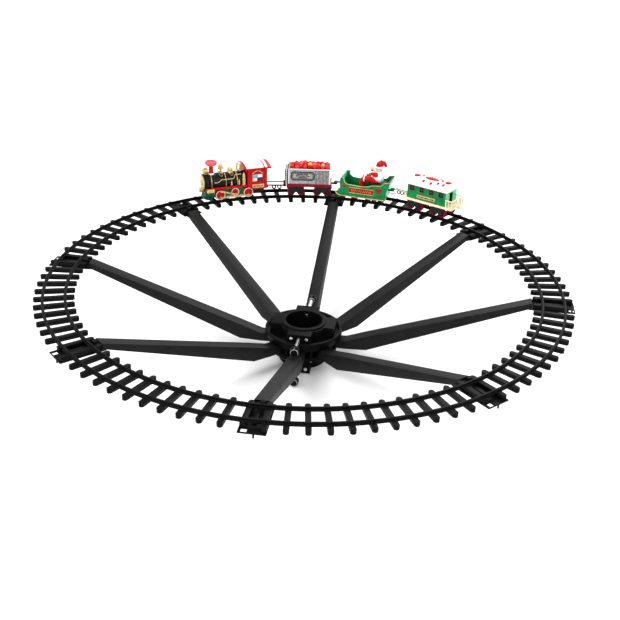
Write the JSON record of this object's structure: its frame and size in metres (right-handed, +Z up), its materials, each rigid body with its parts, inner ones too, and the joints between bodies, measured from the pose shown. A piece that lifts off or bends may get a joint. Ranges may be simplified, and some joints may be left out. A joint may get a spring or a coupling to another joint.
{
  "type": "model train",
  "caption": "Toy steam train with three wagons on a ring of track that hangs round a pole on spoke arms from a clamping hub.",
  "frame": {"origin": "centre of the pole bore at the hub's lower face", "axes": "+Z up along the pole, -Y towards the first support arm, at the front; the train stands on the far side, +Y, and heads anticlockwise seen from above"},
  "size_m": [0.902, 0.902, 0.2389],
  "materials": {
    "black_plastic": "satin moulded black",
    "screw_steel": "plated, the knobs of the four thumb screws are black plastic",
    "green_plastic": "green with gold, red and cream trim",
    "boiler_black": "gloss black with gold bands",
    "silver_plastic": "silver grey, over a crimson underframe",
    "red_plastic": "painted red with white trim",
    "gold_plastic": "gold coloured",
    "white_plastic": "white, like settled snow",
    "figure_paint": "hand painted",
    "cell_jacket": "plain jacket",
    "motor_can": "plated can",
    "gear_white": "natural",
    "wheel_red": "crimson, the locomotive's with white rims"
  },
  "bodies": {
    "stand": {"track_section_1": "black_plastic", "track_section_2": "black_plastic", "track_section_3": "black_plastic", "track_section_4": "black_plastic", "track_section_5": "black_plastic", "track_section_6": "black_plastic", "track_section_7": "black_plastic", "track_section_8": "black_plastic", "support_arm_1": "black_plastic", "support_arm_2": "black_plastic", "support_arm_3": "black_plastic", "support_arm_4": "black_plastic", "support_arm_5": "black_plastic", "support_arm_6": "black_plastic", "support_arm_7": "black_plastic", "support_arm_8": "black_plastic", "hub_upper_ring": "black_plastic", "hub_lower_ring": "black_plastic", "hub_screws": "screw_steel"},
    "clamp_screw_1": {"clamp_screw_1": "screw_steel"},
    "clamp_screw_2": {"clamp_screw_2": "screw_steel"},
    "clamp_screw_3": {"clamp_screw_3": "screw_steel"},
    "clamp_screw_4": {"clamp_screw_4": "screw_steel"},
    "locomotive": {"loco_chassis": "green_plastic", "loco_boiler": "boiler_black", "loco_cab": "red_plastic", "loco_smokestack": "red_plastic", "brass_fittings": "gold_plastic", "battery_cell": "cell_jacket", "battery_cover": "green_plastic", "drive_motor": "motor_can"},
    "gift_wagon": {"gift_wagon_body": "silver_plastic", "gift_load": "red_plastic"},
    "sleigh": {"sleigh_body": "green_plastic", "sleigh_figure": "figure_paint"},
    "coach": {"coach_body": "green_plastic", "coach_roof": "white_plastic"},
    "front_wheelset": {"front_wheelset": "wheel_red"},
    "rear_wheelset": {"rear_wheelset": "wheel_red"},
    "middle_wheel_left": {"middle_wheel_left": "wheel_red"},
    "middle_wheel_right": {"middle_wheel_right": "wheel_red"},
    "motor_pinion": {"motor_pinion": "gear_white"},
    "side_rod_left": {"side_rod_left": "gold_plastic"},
    "side_rod_right": {"side_rod_right": "gold_plastic"},
    "power_switch": {"power_switch": "black_plastic"},
    "drawbar": {"drawbar": "black_plastic"},
    "gift_bogie_front": {"gift_bogie_front": "black_plastic"},
    "gift_front_wheelset_1": {"gift_front_wheelset_1": "wheel_red"},
    "gift_front_wheelset_2": {"gift_front_wheelset_2": "wheel_red"},
    "gift_bogie_rear": {"gift_bogie_rear": "black_plastic"},
    "gift_rear_wheelset_1": {"gift_rear_wheelset_1": "wheel_red"},
    "gift_rear_wheelset_2": {"gift_rear_wheelset_2": "wheel_red"},
    "coach_bogie_front": {"coach_bogie_front": "black_plastic"},
    "coach_front_wheelset_1": {"coach_front_wheelset_1": "wheel_red"},
    "coach_front_wheelset_2": {"coach_front_wheelset_2": "wheel_red"},
    "coach_bogie_rear": {"coach_bogie_rear": "black_plastic"},
    "coach_rear_wheelset_1": {"coach_rear_wheelset_1": "wheel_red"},
    "coach_rear_wheelset_2": {"coach_rear_wheelset_2": "wheel_red"},
    "sleigh_front_wheelset": {"sleigh_front_wheelset": "wheel_red"},
    "sleigh_rear_wheelset": {"sleigh_rear_wheelset": "wheel_red"}
  },
  "joints": [
    {"name": "clamp_screw_1_travel", "type": "slide", "parent": "stand", "child": "clamp_screw_1", "axis": [0, 1, 0], "range_m": [0, 0.022]},
    {"name": "clamp_screw_2_travel", "type": "slide", "parent": "stand", "child": "clamp_screw_2", "axis": [0, -1, 0], "range_m": [0, 0.022]},
    {"name": "clamp_screw_3_travel", "type": "slide", "parent": "stand", "child": "clamp_screw_3", "axis": [0, 1, 0], "range_m": [0, 0.022]},
    {"name": "clamp_screw_4_travel", "type": "slide", "parent": "stand", "child": "clamp_screw_4", "axis": [0, -1, 0], "range_m": [0, 0.022]},
    {"name": "loco_travel", "type": "hinge", "parent": "stand", "child": "locomotive", "pos_m": [0, 0, 0.157], "axis": [0, 0, 1], "continuous": true},
    {"name": "gift_wagon_travel", "type": "hinge", "parent": "stand", "child": "gift_wagon", "pos_m": [0, 0, 0.157], "axis": [0, 0, 1], "continuous": true},
    {"name": "sleigh_travel", "type": "hinge", "parent": "stand", "child": "sleigh", "pos_m": [0, 0, 0.157], "axis": [0, 0, 1], "continuous": true},
    {"name": "coach_travel", "type": "hinge", "parent": "stand", "child": "coach", "pos_m": [0, 0, 0.157], "axis": [0, 0, 1], "continuous": true},
    {"name": "front_wheelset_spin", "type": "hinge", "parent": "locomotive", "child": "front_wheelset", "pos_m": [-0.23511, 0.34337, 0.16715], "axis": [0.5045, -0.8634, 0], "continuous": true},
    {"name": "rear_wheelset_spin", "type": "hinge", "parent": "locomotive", "child": "rear_wheelset", "pos_m": [-0.18374, 0.37339, 0.16715], "axis": [0.5045, -0.8634, 0], "continuous": true},
    {"name": "middle_wheel_left_spin", "type": "hinge", "parent": "locomotive", "child": "middle_wheel_left", "pos_m": [-0.19946, 0.3444, 0.17115], "axis": [0.5045, -0.8634, 0], "continuous": true},
    {"name": "middle_wheel_right_spin", "type": "hinge", "parent": "locomotive", "child": "middle_wheel_right", "pos_m": [-0.21671, 0.37393, 0.17115], "axis": [0.5045, -0.8634, 0], "continuous": true},
    {"name": "motor_pinion_spin", "type": "hinge", "parent": "locomotive", "child": "motor_pinion", "pos_m": [-0.17124, 0.36882, 0.17564], "axis": [0.5045, -0.8634, 0], "continuous": true},
    {"name": "side_rod_left_swing", "type": "hinge", "parent": "front_wheelset", "child": "side_rod_left", "pos_m": [-0.22431, 0.3249, 0.16215], "axis": [0.5045, -0.8634, 0], "continuous": true},
    {"name": "side_rod_right_swing", "type": "hinge", "parent": "front_wheelset", "child": "side_rod_right", "pos_m": [-0.2459, 0.36185, 0.17215], "axis": [0.5045, -0.8634, 0], "continuous": true},
    {"name": "power_switch_slide", "type": "slide", "parent": "locomotive", "child": "power_switch", "axis": [-0.8634, -0.5045, 0], "range_m": [0, 0.002]},
    {"name": "drawbar_swing", "type": "hinge", "parent": "locomotive", "child": "drawbar", "pos_m": [-0.14467, 0.39622, 0.1712], "axis": [0, 0, 1], "range_deg": [-2.5, 2.5]},
    {"name": "gift_bogie_front_swivel", "type": "hinge", "parent": "gift_wagon", "child": "gift_bogie_front", "pos_m": [-0.08338, 0.40771, 0.178], "axis": [0, 0, 1], "range_deg": [-2, 2]},
    {"name": "gift_front_wheelset_1_spin", "type": "hinge", "parent": "gift_bogie_front", "child": "gift_front_wheelset_1", "pos_m": [-0.09318, 0.40571, 0.16465], "axis": [0.2004, -0.9797, 0], "continuous": true},
    {"name": "gift_front_wheelset_2_spin", "type": "hinge", "parent": "gift_bogie_front", "child": "gift_front_wheelset_2", "pos_m": [-0.07358, 0.40972, 0.16465], "axis": [0.2004, -0.9797, 0], "continuous": true},
    {"name": "gift_bogie_rear_swivel", "type": "hinge", "parent": "gift_wagon", "child": "gift_bogie_rear", "pos_m": [-0.02788, 0.41521, 0.178], "axis": [0, 0, 1], "range_deg": [-2, 2]},
    {"name": "gift_rear_wheelset_1_spin", "type": "hinge", "parent": "gift_bogie_rear", "child": "gift_rear_wheelset_1", "pos_m": [-0.03786, 0.41454, 0.16465], "axis": [0.067, -0.9978, 0], "continuous": true},
    {"name": "gift_rear_wheelset_2_spin", "type": "hinge", "parent": "gift_bogie_rear", "child": "gift_rear_wheelset_2", "pos_m": [-0.01791, 0.41588, 0.16465], "axis": [0.067, -0.9978, 0], "continuous": true},
    {"name": "coach_bogie_front_swivel", "type": "hinge", "parent": "coach", "child": "coach_bogie_front", "pos_m": [0.17483, 0.37764, 0.178], "axis": [0, 0, 1], "range_deg": [-2, 2]},
    {"name": "coach_front_wheelset_1_spin", "type": "hinge", "parent": "coach_bogie_front", "child": "coach_front_wheelset_1", "pos_m": [0.16576, 0.38184, 0.16465], "axis": [-0.4201, -0.9075, 0], "continuous": true},
    {"name": "coach_front_wheelset_2_spin", "type": "hinge", "parent": "coach_bogie_front", "child": "coach_front_wheelset_2", "pos_m": [0.18391, 0.37344, 0.16465], "axis": [-0.4201, -0.9075, 0], "continuous": true},
    {"name": "coach_bogie_rear_swivel", "type": "hinge", "parent": "coach", "child": "coach_bogie_rear", "pos_m": [0.22395, 0.35075, 0.178], "axis": [0, 0, 1], "range_deg": [-2, 2]},
    {"name": "coach_rear_wheelset_1_spin", "type": "hinge", "parent": "coach_bogie_rear", "child": "coach_rear_wheelset_1", "pos_m": [0.21552, 0.35613, 0.16465], "axis": [-0.5382, -0.8428, 0], "continuous": true},
    {"name": "coach_rear_wheelset_2_spin", "type": "hinge", "parent": "coach_bogie_rear", "child": "coach_rear_wheelset_2", "pos_m": [0.23238, 0.34537, 0.16465], "axis": [-0.5382, -0.8428, 0], "continuous": true},
    {"name": "sleigh_front_wheelset_spin", "type": "hinge", "parent": "sleigh", "child": "sleigh_front_wheelset", "pos_m": [0.04256, 0.41397, 0.16465], "axis": [-0.1547, -0.988, 0], "continuous": true},
    {"name": "sleigh_rear_wheelset_spin", "type": "hinge", "parent": "sleigh", "child": "sleigh_rear_wheelset", "pos_m": [0.08603, 0.40716, 0.16465], "axis": [-0.1547, -0.988, 0], "continuous": true}
  ],
  "couplings": [
    {"joint": "gift_wagon_travel", "follows": "loco_travel", "ratio": 1},
    {"joint": "sleigh_travel", "follows": "loco_travel", "ratio": 1},
    {"joint": "coach_travel", "follows": "loco_travel", "ratio": 1},
    {"joint": "front_wheelset_spin", "follows": "loco_travel", "ratio": 41.615},
    {"joint": "rear_wheelset_spin", "follows": "loco_travel", "ratio": 41.615},
    {"joint": "middle_wheel_left_spin", "follows": "loco_travel", "ratio": 41.615},
    {"joint": "middle_wheel_right_spin", "follows": "loco_travel", "ratio": 41.615},
    {"joint": "motor_pinion_spin", "follows": "loco_travel", "ratio": -124.84},
    {"joint": "side_rod_left_swing", "follows": "loco_travel", "ratio": -41.615},
    {"joint": "side_rod_right_swing", "follows": "loco_travel", "ratio": -41.615},
    {"joint": "gift_front_wheelset_1_spin", "follows": "loco_travel", "ratio": 55.487},
    {"joint": "gift_front_wheelset_2_spin", "follows": "loco_travel", "ratio": 55.487},
    {"joint": "gift_rear_wheelset_1_spin", "follows": "loco_travel", "ratio": 55.487},
    {"joint": "gift_rear_wheelset_2_spin", "follows": "loco_travel", "ratio": 55.487},
    {"joint": "coach_front_wheelset_1_spin", "follows": "loco_travel", "ratio": 55.487},
    {"joint": "coach_front_wheelset_2_spin", "follows": "loco_travel", "ratio": 55.487},
    {"joint": "coach_rear_wheelset_1_spin", "follows": "loco_travel", "ratio": 55.487},
    {"joint": "coach_rear_wheelset_2_spin", "follows": "loco_travel", "ratio": 55.487},
    {"joint": "sleigh_front_wheelset_spin", "follows": "loco_travel", "ratio": 55.487},
    {"joint": "sleigh_rear_wheelset_spin", "follows": "loco_travel", "ratio": 55.487}
  ]
}
